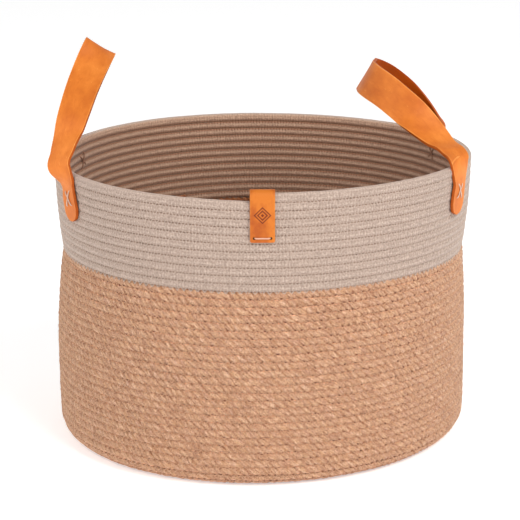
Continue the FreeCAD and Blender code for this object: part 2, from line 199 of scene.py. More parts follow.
def settle(point):
    """A point of the true round body moved to where the soft, used body has it."""
    share = max(0.0, point.z / RIM_TOP)
    wide = 1 + RIM_OVAL * share * share
    forward = max(0.0, -point.y / RIM_RADIUS)
    back = max(0.0, point.y / RIM_RADIUS)
    right = max(0.0, point.x / RIM_RADIUS)
    left = max(0.0, -point.x / RIM_RADIUS)
    belly = max(0.0, 1 - ((share - PRESS_AT) / PRESS_REACH) ** 2)
    return Vector((
        point.x * wide + RIM_SHIFT * (share - 0.5) - RIGHT_PRESS * right ** 2 * belly,
        point.y / wide,
        point.z - (RIM_DIP * point.x + RIM_WARP * point.x * point.y) * share ** 1.5
        + FRONT_LEFT_LIFT * forward * forward * left * share ** 3
        - FRONT_SAG * forward ** 4 * share * share
        + BACK_LIFT * back * 4 * max(0.0, share - share * share),
    ))


def polar(radius, azimuth, height):
    return Vector((radius * math.cos(azimuth), radius * math.sin(azimuth), height))


# ---------------------------------------------------------------- the coil's path
CORNER_LENGTH = CORNER_BEND * math.pi / 2
COTTON_TOP = RIM_TOP - RIM_HALF
COTTON_FOOT = COTTON_TOP - COTTON_TURNS * COTTON_PITCH
COTTON_START = COTTON_END + COTTON_TURNS * 2 * math.pi
LAST_TURN = 1.02 * 2 * math.pi * (RIM_RADIUS - RIM_HALF)   # length of the rim's row, and a bit
JUTE_LENGTH = FLOOR_RADIUS + CORNER_LENGTH + (COTTON_FOOT - WALL_START)


def meridian(travel, out):
    """Point (radius, height) of the jute coil's section after a travel from the middle of the
    floor, moved out along the section's normal."""
    if travel < FLOOR_RADIUS:
        return travel, JUTE_HALF - out
    travel -= FLOOR_RADIUS
    if travel < CORNER_LENGTH:
        angle = travel / CORNER_BEND
        reach = CORNER_BEND + out
        return FLOOR_RADIUS + reach * math.sin(angle), WALL_START - reach * math.cos(angle)
    height = WALL_START + travel - CORNER_LENGTH
    return crest_radius(height) - JUTE_HALF + out, height


def wander(angle, seed):
    """Small smooth unevenness of hand-guided sewing, in metres."""
    return (
        math.sin(angle * 3.0 + seed) + 0.7 * math.sin(angle * 7.1 + seed * 2.3)
        + 0.5 * math.sin(angle * 13.7 + seed * 1.7) + 0.4 * math.sin(angle * 29.3 + seed * 0.6)
    ) * WANDER


def jute_point(travel, out=0.0, down=0.0):
    """Point on the jute coil; down moves it back along the section, to a seam."""
    azimuth = COTTON_START + (JUTE_LENGTH - travel) / JUTE_PITCH * 2 * math.pi
    radius, height = meridian(travel - down, out)
    ripple = min(1.0, travel / 0.03)
    radius += wander(azimuth, 1.0) * ripple
    if travel - down > FLOOR_RADIUS + CORNER_LENGTH:
        height += wander(azimuth, 4.0)
    return settle(polar(radius, azimuth, height))


def cotton_point(turn, out=0.0, down=0.0):
    """Point on the cotton coil after a number of turns from its start."""
    azimuth = COTTON_START - turn * 2 * math.pi
    height = COTTON_FOOT + turn * COTTON_PITCH - down
    radius = crest_radius(height) - COTTON_HALF + out + wander(azimuth, 2.0) * 0.8
    return settle(polar(radius, azimuth, height + wander(azimuth, 6.0) * 0.5))


def cotton_centreline():
    count = int(COTTON_TURNS * COTTON_STEPS)
    return [cotton_point(COTTON_TURNS * i / count) for i in range(count + 1)]


def polyline_length(points):
    return sum((b - a).length for a, b in zip(points, points[1:]))


def coil_curve(name, points):
    """Poly curve through the points, kept upright, for ropes and threads to follow."""
    curve = bpy.data.curves.new(name, "CURVE")
    curve.dimensions = "3D"
    curve.twist_mode = "Z_UP"
    spline = curve.splines.new("POLY")
    spline.points.add(len(points) - 1)
    for target, point in zip(spline.points, points):
        target.co = (point.x, point.y, point.z, 1.0)
    obj = bpy.data.objects.new(name, curve)
    bpy.context.scene.collection.objects.link(obj)
    return obj, polyline_length(points)


def only(obj):
    """Select one object alone and make it active."""
    if bpy.context.object and bpy.context.object.mode != "OBJECT":
        bpy.ops.object.mode_set(mode="OBJECT")
    bpy.ops.object.select_all(action="DESELECT")
    obj.select_set(True)
    bpy.context.view_layer.objects.active = obj


def apply_all(obj):
    only(obj)
    for modifier in list(obj.modifiers):
        bpy.ops.object.modifier_apply(modifier=modifier.name)


def lay_wobble(x):
    """Uneven twist of hand-laid strands, in radians, at a place along the rope."""
    return (
        0.5 * math.sin(x / (23 * MM)) + 0.35 * math.sin(x / (9.1 * MM) + 1.0)
        + 0.22 * math.sin(x / (4.3 * MM) + 2.0)
    )


def remember_straight(obj, twist_length):
    """Keeps each point's place on the straight rope as mesh attributes, so that fibres, braid
    and seams follow the rope after it is coiled: "straight" before the strands are twisted, and
    "facing" after, with -Y towards the inside of the bin and Z up its wall."""
    mesh = obj.data
    straight = mesh.attributes.new("straight", "FLOAT_VECTOR", "POINT")
    facing = mesh.attributes.new("facing", "FLOAT_VECTOR", "POINT")
    before = []
    after = []
    for vertex in mesh.vertices:
        x, y, z = vertex.co
        turn = -2 * math.pi * x / twist_length if twist_length else 0.0
        c, s = math.cos(turn), math.sin(turn)
        before += (x, y * c - z * s, y * s + z * c)
        if twist_length:
            c, s = math.cos(lay_wobble(x)), math.sin(lay_wobble(x))
            vertex.co = (x, y * c - z * s, y * s + z * c)
        after += tuple(vertex.co)
    straight.data.foreach_set("vector", before)
    facing.data.foreach_set("vector", after)


def follow(obj, path):
    modifier = obj.modifiers.new("coil", "CURVE")
    modifier.object = path
    modifier.deform_axis = "POS_X"
    apply_all(obj)
    bpy.data.objects.remove(path)


def close_ends(obj):
    only(obj)
    bpy.ops.object.mode_set(mode="EDIT")
    bpy.ops.mesh.select_all(action="DESELECT")
    bpy.ops.mesh.select_mode(type="VERT")
    bpy.ops.mesh.select_non_manifold()
    bpy.ops.mesh.fill_holes(sides=0)
    bpy.ops.mesh.select_all(action="SELECT")
    bpy.ops.mesh.normals_make_consistent(inside=False)
    bpy.ops.object.mode_set(mode="OBJECT")


def smooth(obj, angle=60.0):
    only(obj)
    bpy.ops.object.shade_smooth_by_angle(angle=math.radians(angle))


def jute_outline(angle):
    """Three plump strands pressed against each other."""
    to_edge = abs((angle / (2 * math.pi / STRANDS)) % 1.0 - 0.5) * 2
    reach = JUTE_HALF * (1 - STRAND_GROOVE * to_edge ** 4)
    return reach * math.cos(angle), reach * math.sin(angle)


def cotton_outline(angle):
    """A round sleeve pressed flatter where rows lie on each other."""
    def squared(value):
        return math.copysign(abs(value) ** COTTON_SQUARE, value)

    return COTTON_HALF * squared(math.cos(angle)), COTTON_HALF * squared(math.sin(angle))


def straight_rope(name, outline, sides, lay, rings, count):
    """Straight rope along +X: an outline screwed along."""
    bpy.ops.mesh.primitive_circle_add(vertices=sides, radius=1.0)
    rope = bpy.context.object
    rope.name = name
    for vertex in rope.data.vertices:
        across, up = outline(math.atan2(vertex.co.y, vertex.co.x))
        vertex.co = (up, across, 0)
    screw = rope.modifiers.new("lay", "SCREW")
    screw.axis = "Z"
    screw.angle = 2 * math.pi if outline == jute_outline else 0.0
    screw.screw_offset = lay
    screw.iterations = count
    screw.steps = rings
    screw.render_steps = rings
    screw.use_merge_vertices = False
    apply_all(rope)
    rope.rotation_euler = (0, math.pi / 2, 0)
    bpy.ops.object.transform_apply(location=True, rotation=True, scale=True)
    return rope


def loosen(rope, amount, size):
    """Uneven thickness of a soft hand-laid rope."""
    texture = bpy.data.textures.new(rope.name + "_slack", "CLOUDS")
    texture.noise_scale = size
    texture.noise_depth = 1
    displace = rope.modifiers.new("slack", "DISPLACE")
    displace.texture = texture
    displace.texture_coords = "LOCAL"
    displace.strength = amount
    displace.mid_level = 0.5
    apply_all(rope)


def finish_piece(obj, body, material, slot, *nodes):
    obj.data.materials.clear()
    obj.data.materials.append(material)
    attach(obj, body)
    if nodes:
        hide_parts(*nodes)
    return obj


# ---------------------------------------------------------------- materials
def set_inputs(node, values):
    for name, value in values.items():
        node.inputs[name].default_value = value


def node_material(name, values):
    """Material with its node tree, and its shader with some values set."""
    material = bpy.data.materials.new(name)
    material.use_nodes = True
    shader = material.node_tree.nodes["Principled BSDF"]
    set_inputs(shader, values)
    return material, material.node_tree, shader


def ramp(tree, value, stops):
    """Colour for a value between (value, colour) stops."""
    node = tree.nodes.new("ShaderNodeValToRGB")
    elements = node.color_ramp.elements
    while len(elements) < len(stops):
        elements.new(0.5)
    for element, (place, colour) in zip(elements, stops):
        element.position = place
        element.color = (*colour, 1.0)
    tree.links.new(value, node.inputs["Fac"])
    return node.outputs["Color"]


def noise_on(tree, vector, stretch, scale, detail, rough):
    """Noise read from a vector, stretched by a scale for each axis."""
    mapping = tree.nodes.new("ShaderNodeMapping")
    mapping.inputs["Scale"].default_value = stretch
    tree.links.new(vector, mapping.inputs["Vector"])
    noise = tree.nodes.new("ShaderNodeTexNoise")
    set_inputs(noise, {"Scale": scale, "Detail": detail, "Roughness": rough})
    tree.links.new(mapping.outputs["Vector"], noise.inputs["Vector"])
    return noise.outputs["Fac"]


def computed(tree, kind, operation, *values):
    """Outputs of a maths node that works on sockets and plain values."""
    node = tree.nodes.new(kind)
    node.operation = operation
    for slot, value in zip(node.inputs, values):
        if isinstance(value, bpy.types.NodeSocket):
            tree.links.new(value, slot)
        else:
            slot.default_value = value
    return node.outputs


def calculated(tree, operation, *values):
    return computed(tree, "ShaderNodeMath", operation, *values)["Value"]


def positive(tree, value):
    return calculated(tree, "MAXIMUM", value, 0.0)


def along(tree, vector, direction):
    """Length of a vector along a direction."""
    return computed(tree, "ShaderNodeVectorMath", "DOT_PRODUCT", vector, direction)["Value"]


def radial_share(tree, vector, half):
    """Distance from the rope's middle, as a share of its half thickness."""
    around = (0.0, 1.0 / half, 1.0 / half)
    across = computed(tree, "ShaderNodeVectorMath", "MULTIPLY", vector, around)["Vector"]
    return computed(tree, "ShaderNodeVectorMath", "LENGTH", across)["Value"]


def shaded(tree, colour, *layers):
    """Colour multiplied, for each (value, stops), by the colour between the stops."""
    for value, stops in layers:
        mix = tree.nodes.new("ShaderNodeMix")
        mix.data_type = "RGBA"
        mix.blend_type = "MULTIPLY"
        mix.inputs["Factor"].default_value = 1.0
        tree.links.new(colour, mix.inputs["A"])
        tree.links.new(ramp(tree, value, stops), mix.inputs["B"])
        colour = mix.outputs["Result"]
    return colour


def stored(tree, name):
    """Place stored in the mesh under a name."""
    node = tree.nodes.new("ShaderNodeAttribute")
    node.attribute_name = name
    return node.outputs["Vector"]


def bumped(tree, shader, height, strength, distance):
    """Surface bumped by a height, over the bump that it has."""
    bump = tree.nodes.new("ShaderNodeBump")
    set_inputs(bump, {"Strength": strength, "Distance": distance})
    tree.links.new(height, bump.inputs["Height"])
    normal = shader.inputs["Normal"]
    if normal.links:
        tree.links.new(normal.links[0].from_socket, bump.inputs["Normal"])
    tree.links.new(bump.outputs["Normal"], normal)


WHITE = (1.0, 1.0, 1.0)
EVEN = (1.0, 1.0, 1.0)          # a noise that isn't stretched


def make_jute():
    material, tree, shader = node_material("jute_rope", {
        "Roughness": 0.85, "Sheen Weight": 0.12, "Sheen Roughness": 0.5,
        "Specular IOR Level": 0.25,
    })
    straight, facing = stored(tree, "straight"), stored(tree, "facing")
    fibres = noise_on(tree, straight, (0.30, 1.0, 1.0), 700.0, 4.0, 0.75)
    patches = noise_on(tree, straight, (0.6, 1.0, 1.0), 240.0, 2.0, 0.6)
    fluff = noise_on(tree, facing, EVEN, 760.0, 2.0, 0.7)
    inward = along(tree, facing, (0, -1 / JUTE_HALF, 0))
    # The valleys are sewn shut; painted light in them against their shade, and painted shade at dark
    # stitch holes here and there
    height = calculated(tree, "ABSOLUTE", along(tree, facing, (0, 0, 1 / JUTE_HALF)))
    holes = noise_on(tree, facing, (1.0, 0.3, 0.3), 420.0, 1.0, 0.5)
    seam = calculated(tree, "ADD", holes, calculated(tree, "MULTIPLY_ADD", height, -2.0, 1.6))
    tint = ramp(tree, fibres, [
        (0.32, (0.36, 0.18, 0.095)), (0.44, (0.51, 0.285, 0.16)), (0.56, (0.61, 0.385, 0.25)),
        (0.68, (0.74, 0.52, 0.395)),
    ])
    colour = shaded(
        tree, tint,
        (patches, [(0.36, (0.82, 0.74, 0.74)), (0.5, (0.95, 0.92, 0.91)), (0.64, (1.02, 1.01, 0.96))]),
        (fluff, [(0.34, (0.56, 0.42, 0.33)), (0.48, WHITE), (0.68, (1.18, 1.20, 1.24))]),
        # Painted shade in the grooves between the strands
        (radial_share(tree, straight, JUTE_HALF), [
            (0.68, (0.34, 0.155, 0.08)), (0.82, (0.90, 0.83, 0.78)), (0.95, (1.03, 1.03, 1.03)),
        ]),
        # Painted light in the valleys between rows, against their shade
        (height, [(0.58, WHITE), (0.80, (1.55, 1.42, 1.34))]),
        # Painted shade at stitch holes here and there along the valleys
        (seam, [(0.44, (0.26, 0.095, 0.04)), (0.56, WHITE)]),
        # Painted shade on the side facing into the bin, which also darkens the floor's top
        (inward, [(0.20, WHITE), (0.60, (0.69, 0.46, 0.32))]),
    )
    tree.links.new(colour, shader.inputs["Base Color"])
    bumped(tree, shader, fluff, 1.0, 0.8 * MM)
    return material


def braid_height(tree, vector):
    """Raised diamonds of a braided sleeve, along and around the straight rope."""
    up, out = along(tree, vector, (0, 0, 1)), along(tree, vector, (0, 1, 0))
    around = calculated(tree, "MULTIPLY", calculated(tree, "ARCTAN2", up, out), BRAID_AROUND)
    run = along(tree, vector, (2 * math.pi / BRAID_LENGTH, 0, 0))
    left = calculated(tree, "SINE", calculated(tree, "ADD", run, around))
    right = calculated(tree, "SINE", calculated(tree, "SUBTRACT", run, around))
    return calculated(tree, "MULTIPLY", left, right)


def make_cotton():
    material, tree, shader = node_material("cotton_rope", {
        "Roughness": 0.8, "Sheen Weight": 0.15, "Specular IOR Level": 0.3,
    })
    straight, facing = stored(tree, "straight"), stored(tree, "facing")
    speckle = noise_on(tree, straight, EVEN, 760.0, 2.0, 0.6)
    drift = computed(
        tree, "ShaderNodeVectorMath", "MULTIPLY_ADD", speckle.node.outputs["Color"],
        (1.2 * MM, 1.2 * MM, 1.2 * MM), straight,
    )["Vector"]
    braid = braid_height(tree, drift)
    rise = along(tree, facing, (0, 0, 1 / COTTON_HALF))
    inward = along(tree, facing, (0, -1 / COTTON_HALF, 0))
    # No row is sewn on top of the last turn
    last = calculated(tree, "GREATER_THAN", along(tree, facing, (1, 0, 0)),
                      polyline_length(cotton_centreline()) - LAST_TURN)
    free = calculated(tree, "MULTIPLY", last, positive(tree, rise))
    height = calculated(tree, "MULTIPLY_ADD", free, -2.0, calculated(tree, "ABSOLUTE", rise))
    # Painted shade at stitch holes along the upper shoulder of every row inside
    beat = calculated(tree, "SINE", along(tree, facing, (2 * math.pi / HOLE_PITCH, 0, 0)))
    off = calculated(tree, "ABSOLUTE", calculated(tree, "SUBTRACT", rise, 0.52))
    off = calculated(tree, "ADD", off, free)
    band = positive(tree, calculated(tree, "MULTIPLY_ADD", off, -3.6, 1.0))
    band = calculated(tree, "MULTIPLY", band, positive(tree, inward))
    tint = ramp(tree, speckle, [
        (0.34, (0.32, 0.24, 0.195)), (0.50, (0.44, 0.335, 0.275)), (0.68, (0.575, 0.45, 0.375)),
    ])
    colour = shaded(
        tree, tint,
        (calculated(tree, "MULTIPLY_ADD", braid, 0.5, 0.5), [
            (0.0, (0.80, 0.77, 0.75)), (1.0, (1.02, 1.02, 1.02)),
        ]),
        # Painted light on the upper half of the rim's last turn
        (free, [(0.62, WHITE), (0.90, (1.30, 1.28, 1.26))]),
        # Painted shade in the seam valleys between rows
        (height, [(0.72, WHITE), (0.84, (0.66, 0.51, 0.42))]),
        # Painted light: the inward-facing crests inside the bin are made lighter and warmer
        (inward, [(0.60, WHITE), (0.85, (1.22, 1.02, 0.86))]),
        # Painted shade in the seams between rows inside the bin
        (calculated(tree, "MULTIPLY", height, positive(tree, inward)), [
            (0.34, WHITE), (0.60, (0.54, 0.37, 0.26)),
        ]),
        # Painted shade at the stitch holes inside
        (calculated(tree, "MULTIPLY", beat, band), [(0.12, WHITE), (0.45, (0.55, 0.42, 0.34))]),
    )
    tree.links.new(colour, shader.inputs["Base Color"])
    bumped(tree, shader, speckle, 0.6, 0.4 * MM)
    bumped(tree, shader, braid, 0.8, 0.25 * MM)
    return material


def make_thread(name, light, dark):
    material, tree, shader = node_material(name, {"Roughness": 0.7, "Sheen Weight": 0.1})
    place = tree.nodes.new("ShaderNodeTexCoord").outputs["Object"]
    speckle = noise_on(tree, place, EVEN, 1500.0, 2.0, 0.6)
    tint = ramp(tree, speckle, [(0.35, dark), (0.65, light)])
    tree.links.new(tint, shader.inputs["Base Color"])
    return material


# ---------------------------------------------------------------- ropes
def arc_steps(start, stop, step_angle):
    """Travels from start to stop with a fixed turning angle between neighbours."""
    total = (stop - start) / JUTE_PITCH * 2 * math.pi
    count = max(2, int(total / step_angle))
    return [start + (stop - start) * i / count for i in range(count + 1)]


def jute_rope_piece(name, start, stop, rings, material):
    points = [jute_point(travel) for travel in arc_steps(start, stop, JUTE_STEP)]
    path, length = coil_curve(name + "_path", points)
    count = round(length / JUTE_LAY)
    rope = straight_rope(name, jute_outline, STRANDS * STRAND_SIDES, length / count, rings, count)
    remember_straight(rope, length / count)
    loosen(rope, *JUTE_SLACK)
    follow(rope, path)
    close_ends(rope)
    smooth(rope, 80)
    return finish_piece(rope, "basket", material, "jute_rope")


def cotton_rope_piece(material):
    path, length = coil_curve("cotton_path", cotton_centreline())
    rings = round(length / COTTON_RING)
    rope = straight_rope(
        "cotton_rope_coil", cotton_outline, COTTON_SIDES, length / COTTON_PARTS,
        rings // COTTON_PARTS, COTTON_PARTS,
    )
    remember_straight(rope, 0.0)
    loosen(rope, *COTTON_SLACK)
    follow(rope, path)
    close_ends(rope)
    smooth(rope, 80)
    return finish_piece(rope, "basket", material, "cotton_rope", "cotton_wall")


def zigzag_seam(name, path_points, rise, half_period, thread_half, sides, material, slot):
    """Zigzag seam thread: one period is modelled along +X, then repeated along the seam."""
    path, length = coil_curve(name + "_path", path_points)
    count = max(1, round(length / (2 * half_period)))
    period = length / count
    bpy.ops.mesh.primitive_circle_add(vertices=sides, radius=thread_half, rotation=(0, math.pi / 2, 0))
    thread = bpy.context.object
    thread.name = name
    bpy.ops.object.transform_apply(location=True, rotation=True, scale=True)
    bpy.ops.object.mode_set(mode="EDIT")
    bpy.ops.mesh.select_all(action="SELECT")
    bpy.ops.transform.translate(value=(0, 0, rise))
    for way in (-1, -1, 1, 1):
        bpy.ops.mesh.extrude_region_move(
            TRANSFORM_OT_translate={"value": (period / 4, 0, way * rise)}
        )
    bpy.ops.object.mode_set(mode="OBJECT")
    array = thread.modifiers.new("repeat", "ARRAY")
    array.count = count
    array.use_relative_offset = False
    array.use_constant_offset = True
    array.constant_offset_displace = (period, 0, 0)
    array.use_merge_vertices = True
    array.merge_threshold = thread_half * 0.2
    apply_all(thread)
    follow(thread, path)
    close_ends(thread)
    smooth(thread, 80)
    return finish_piece(thread, "basket", material, slot)


def build_ropes():
    jute = make_jute()
    cotton = make_cotton()
    cotton_thread = make_thread("cotton_seam_thread", (0.56, 0.44, 0.365), (0.46, 0.35, 0.285))
    jute_thread = make_thread("jute_seam_thread", (0.78, 0.50, 0.32), (0.44, 0.21, 0.11))
    # The seam thread inside is a darker copy of the thread: painted shade inside the bin
    inner_thread = make_thread("cotton_seam_thread_inside", (0.30, 0.185, 0.12), (0.17, 0.10, 0.063))
    share = (JUTE_LENGTH - FLOOR_RADIUS) / 4
    floor = jute_rope_piece("jute_floor_coil", FLOOR_START, FLOOR_RADIUS, FLOOR_RINGS, jute)
    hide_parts("jute_base")
    # The coil's tight first turn is pulled closed with thread
    bpy.ops.mesh.primitive_uv_sphere_add(
        segments=20, ring_count=10, radius=FLOOR_KNOT, location=settle(Vector((0, 0, JUTE_HALF)))
    )
    knot = bpy.context.object
    knot.name = "jute_floor_knot"
    bpy.ops.object.transform_apply(location=True, rotation=True, scale=True)
    smooth(knot, 60)
    finish_piece(knot, "basket", jute_thread, "jute_rope")
    for i, letter in enumerate("abcd"):
        start = FLOOR_RADIUS + share * i
        piece = jute_rope_piece("jute_wall_coil_" + letter, start, start + share, WALL_RINGS, jute)
        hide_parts("jute_wall")
    cotton_rope_piece(cotton)
    # Seam threads, outside and inside
    count = int((COTTON_TURNS - 0.02) * COTTON_STEPS)
    for side, out, thread in (
        ("outside", COTTON_SEAM_OUT, cotton_thread), ("inside", COTTON_SEAM_IN, inner_thread),
    ):
        points = []
        for i in range(count + 1):
            turn = COTTON_TURNS * i / count
            points.append(cotton_point(turn, COTTON_HALF * out, COTTON_PITCH / 2))
        zigzag_seam("cotton_seam_" + side, points, COTTON_SEAM_RISES[side], COTTON_SEAM_STEP,
                    COTTON_SEAM_HALF, 5, thread, "cotton_rope")
    start = FLOOR_RADIUS + JUTE_PITCH
    for side, out in (("outside", JUTE_SEAM_OUT), ("inside", JUTE_SEAM_IN)):
        points = []
        for travel in arc_steps(start, JUTE_LENGTH, JUTE_SEAM_STEP):
            points.append(jute_point(travel, JUTE_HALF * out, JUTE_PITCH / 2))
        zigzag_seam("jute_seam_" + side, points, JUTE_SEAM_RISE, JUTE_ZIGZAG, JUTE_SEAM_HALF, 4,
                    jute_thread, "jute_rope")


# ---------------------------------------------------------------- straps
Station = namedtuple("Station", "across out up turn lean half")

# One half of each loop, from the neck to the tip. Millimetres from the hinge: across towards the
# neck, out from the bin and up. turn is how far the strap has turned on edge, lean how far its
# edge leans inward, in degrees, and half is half its width.
LOOPS = {
    "right": [
        Station(92.8, -4.0, -3, 22, 22, 12.7),
        Station(85.7, -8.9, 5.3, 47, 9, 13.1),
        Station(73.7, -20.3, 13, 79, -12, 14.7),
        Station(57.5, -42.3, 33, 98, -6, 15.9),
        Station(42.9, -66.4, 52.6, 110, 15, 16.3),
        Station(20.8, -83.1, 62.3, 118, 36, 17.0),
        Station(0.0, -86.5, 64.0, 118, 50, 17.0),
    ],
    "left": [
        Station(83.7, 3.8, -5.4, 41, -32, 12.7),
        Station(79.4, 0.0, 8.6, 52, -18, 13.1),
        Station(71.5, -5.3, 22.7, 57, -9, 14.5),
        Station(64.2, -10.8, 38.4, 62, 2, 15.7),
        Station(43.8, -19.6, 60.2, 67, 13, 15.9),
        Station(21.4, -29.0, 78.6, 73, 26, 15.9),
        Station(0.0, -36.8, 91.3, 79, 38, 15.9),
    ],
}
# How far the back half of each loop sits further in than the front half, station by station
BACK_TUCKS = {
    "right": [5.0, 5.5, 2.0, -0.5, -1.5, -1.0, 0.0],
    "left": [3.0, 8.0, 8.0, 7.0, 5.0, 3.0, 0.0],
}
TUCK_FALL = 0.4                 # and how much lower, for each millimetre of that
# Each handle: azimuth of its middle, half angle between its crosses, slant of its tabs (degrees)
HANDLES = {"right": (-0.1, 26.9, 8.2), "left": (183.7, 24.2, 14.4)}
# Middle of each handle's crosses below the rim rope's centre
CROSS_DROPS = {"right": 20.0 * MM, "left": 24.0 * MM}
UP = Vector((0, 0, 1))


def at_back(handle, side):
    return side == (1 if handle == "right" else -1)


def handle_axes(handle):
    azimuth = math.radians(HANDLES[handle][0])
    outward = polar(1.0, azimuth, 0.0)
    return outward, UP.cross(outward)


def tab_station(handle, side, drop, off=0.0):
    """Centre, width direction and outward direction of a tab at a drop below the rim rope."""
    middle, half_angle, slant = (math.radians(v) for v in HANDLES[handle])
    shift = math.tan(slant) * (TAB_PIVOT - drop) / RIM_RADIUS
    azimuth = middle + side * (half_angle - shift)
    height = COTTON_TOP - drop
    radial = polar(1.0, azimuth, 0.0)
    tangent = UP.cross(radial) * side
    radius = crest_radius(height) + TAB_GAP + STRAP_THICK / 2 + off
    width_dir = tangent * math.cos(slant) + UP * math.sin(slant)
    return radial * radius + UP * height, width_dir, radial


def half_path(handle, side):
    """Stations of one half strap from the foot of its tab to the tip of the loop."""
    stations = []
    for drop in (TAB_DROPS[handle], *TAB_STATIONS):
        centre, width_dir, _ = tab_station(handle, side, drop)
        stations.append((centre, width_dir, TAB_WIDTH / 2))
    outward, across = handle_axes(handle)
    hinge = Vector(frame_joints["handle_" + handle + "_swing"])
    for i, station in enumerate(LOOPS[handle]):
        tuck = BACK_TUCKS[handle][i] if at_back(handle, side) else 0.0
        centre = hinge + (
            across * side * station.across + outward * (station.out - tuck)
            + UP * (station.up - tuck * TUCK_FALL)
        ) * MM
        lean = math.radians(station.lean)
        turn = math.radians(station.turn)
        down = -(outward * math.cos(lean) + UP * math.sin(lean))
        width_now = width_dir * math.cos(turn) + down * math.sin(turn)
        stations.append((centre, width_now.normalized(), station.half * MM))
    return stations


def spline(values, place):
    """Smooth curve through a list of values, at a place counted in list steps."""
    last = len(values) - 1
    index = min(int(place), last - 1)
    t = place - index
    before = values[index - 1] if index > 0 else values[0] * 2 - values[1]
    after = values[index + 2] if index + 2 <= last else values[last] * 2 - values[last - 1]
    a, b, c, d = before, values[index], values[index + 1], after
    return (
        b * 2 + (c - a) * t + (a * 2 - b * 5 + c * 4 - d) * (t * t)
        + (b * 3 - a - c * 3 + d) * (t * t * t)
    ) * 0.5


def sweep_rows(stations, spacing):
    """Evenly spaced rows (travel, centre, width direction, half width) along the stations."""
    steps = 40
    fine = []
    travel = 0.0
    centres = [s[0] for s in stations]
    widths = [s[1] for s in stations]
    halves = [s[2] for s in stations]
    for i in range((len(stations) - 1) * steps + 1):
        place = i / steps
        centre = spline(centres, place)
        if fine:
            travel += (centre - fine[-1][1]).length
        fine.append((travel, centre, spline(widths, place), spline(halves, place)))
    count = round(travel / spacing)
    rows = []
    for i in range(count + 1):
        want = travel * i / count
        j = min(range(len(fine)), key=lambda k: abs(fine[k][0] - want))
        rows.append(fine[j])
    squared = []
    for i, (at, centre, width, half) in enumerate(rows):
        run = (rows[min(i + 1, count)][1] - rows[max(i - 1, 0)][1]).normalized()
        width = (width - run * width.dot(run)).normalized()
        squared.append((at, centre, width, half))
    return squared


def leather_strip(name, rows, thick, columns, corner, materials):
    """Leather strip from a grid laid along rows, given its thickness and rounded edges. corner
    is the radius of its end corners."""
    bpy.ops.mesh.primitive_grid_add(
        x_subdivisions=len(rows) - 1, y_subdivisions=columns, size=2.0
    )
    strip = bpy.context.object
    strip.name = name
    length = rows[-1][0]
    flat = strip.data.attributes.new("flat", "FLOAT_VECTOR", "POINT")
    for vertex in strip.data.vertices:
        i = round((vertex.co.x + 1) / 2 * (len(rows) - 1))
        share = vertex.co.y
        travel, centre, width, half = rows[i]
        to_end = min(travel, length - travel)
        reach = half
        if to_end < corner:
            reach = half - corner + math.sqrt(max(0.0, corner ** 2 - (corner - to_end) ** 2))
        side = share * max(reach, 0.2 * MM)
        flat.data[vertex.index].vector = (travel, side, half - abs(side))
        vertex.co = settle(centre + width * side)
    for material in materials:
        strip.data.materials.append(material)
    solid = strip.modifiers.new("thickness", "SOLIDIFY")
    solid.thickness = thick
    solid.offset = 0
    solid.material_offset = 1
    solid.material_offset_rim = 2
    edge = strip.modifiers.new("skived_edge", "BEVEL")
    edge.width = thick * SKIVING
    edge.segments = 2
    edge.limit_method = "ANGLE"
    edge.angle_limit = math.radians(50)
    apply_all(strip)
    smooth(strip, 50)
    return strip


def make_leather(name, stops, grain_bump, shine, worn=None):
    """Leather on its flat coordinates. worn is the colour tint of scuffs and of its edges."""
    material, tree, shader = node_material(name, {
        "Roughness": 0.55, "Specular IOR Level": shine,
    })
    place = stored(tree, "flat")
    colour = ramp(tree, noise_on(tree, place, EVEN, 38.0, 4.0, 0.6), stops)
    grain = noise_on(tree, place, EVEN, 1100.0, 3.0, 0.6)
    if worn:
        scuffs = noise_on(tree, place, (0.35, 1.0, 1.0), 260.0, 3.0, 0.7)
        colour = shaded(
            tree, colour,
            (scuffs, [(0.34, (0.95, 0.90, 0.85)), (0.46, WHITE), (0.66, WHITE), (0.72, worn)]),
            (along(tree, place, (0, 0, 100.0)), [(0.05, worn), (0.10, WHITE)]),
        )
    tree.links.new(colour, shader.inputs["Base Color"])
    bumped(tree, shader, grain, grain_bump, 0.2 * MM)
    return material


def shade_leather(material, value, stops):
    """One more layer of shading on a finished leather."""
    tree = material.node_tree
    base = tree.nodes["Principled BSDF"].inputs["Base Color"]
    tree.links.new(shaded(tree, base.links[0].from_socket, (value, stops)), base)


def strap_materials():
    grain = make_leather("strap_leather_grain", [
        (0.30, (0.54, 0.125, 0.011)), (0.50, (0.63, 0.164, 0.016)), (0.70, (0.73, 0.215, 0.028)),
    ], 0.35, 0.3, (1.15, 1.5, 2.6))
    # A pale crease where the strap bends in over the rim
    tree = grain.node_tree
    flat = stored(tree, "flat")
    run = along(tree, flat, (100.0, CREASE_SLANT * 100.0, 0))
    away = calculated(tree, "ABSOLUTE", calculated(tree, "SUBTRACT", run, CREASE_TRAVEL * 100.0))
    fading = positive(tree, along(tree, flat, (0, -30.0, 0)))
    shade_leather(grain, calculated(tree, "ADD", away, fading), [
        (0.03, (1.12, 1.40, 2.4)), (0.09, (0.90, 0.85, 0.78)), (0.22, WHITE),
    ])
    # The flesh side's own colour, made darker as painted shade on the inside of the loop
    flesh = make_leather("strap_leather_flesh", [
        (0.30, (0.29, 0.040, 0.002)), (0.70, (0.42, 0.070, 0.004)),
    ], 0.8, 0.05)
    # The cut edges' own colour, made darker as painted shade on the edges
    cut = make_leather("strap_leather_edge", [
        (0.30, (0.38, 0.072, 0.007)), (0.70, (0.52, 0.11, 0.014)),
    ], 0.5, 0.15)
    return [grain, flesh, cut]


def build_strap(handle, materials):
    front = half_path(handle, -1)
    back = half_path(handle, 1)
    rows = sweep_rows(front + back[-2::-1], STRAP_ROW)
    strap = leather_strip(
        "strap_" + handle, rows, STRAP_THICK, STRAP_COLUMNS, TAB_WIDTH / 2, materials
    )
    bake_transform(strap)
    nodes = ["strap_" + handle + "_" + part for part in ("loop", "tab_front", "tab_back")]
    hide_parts(*nodes)


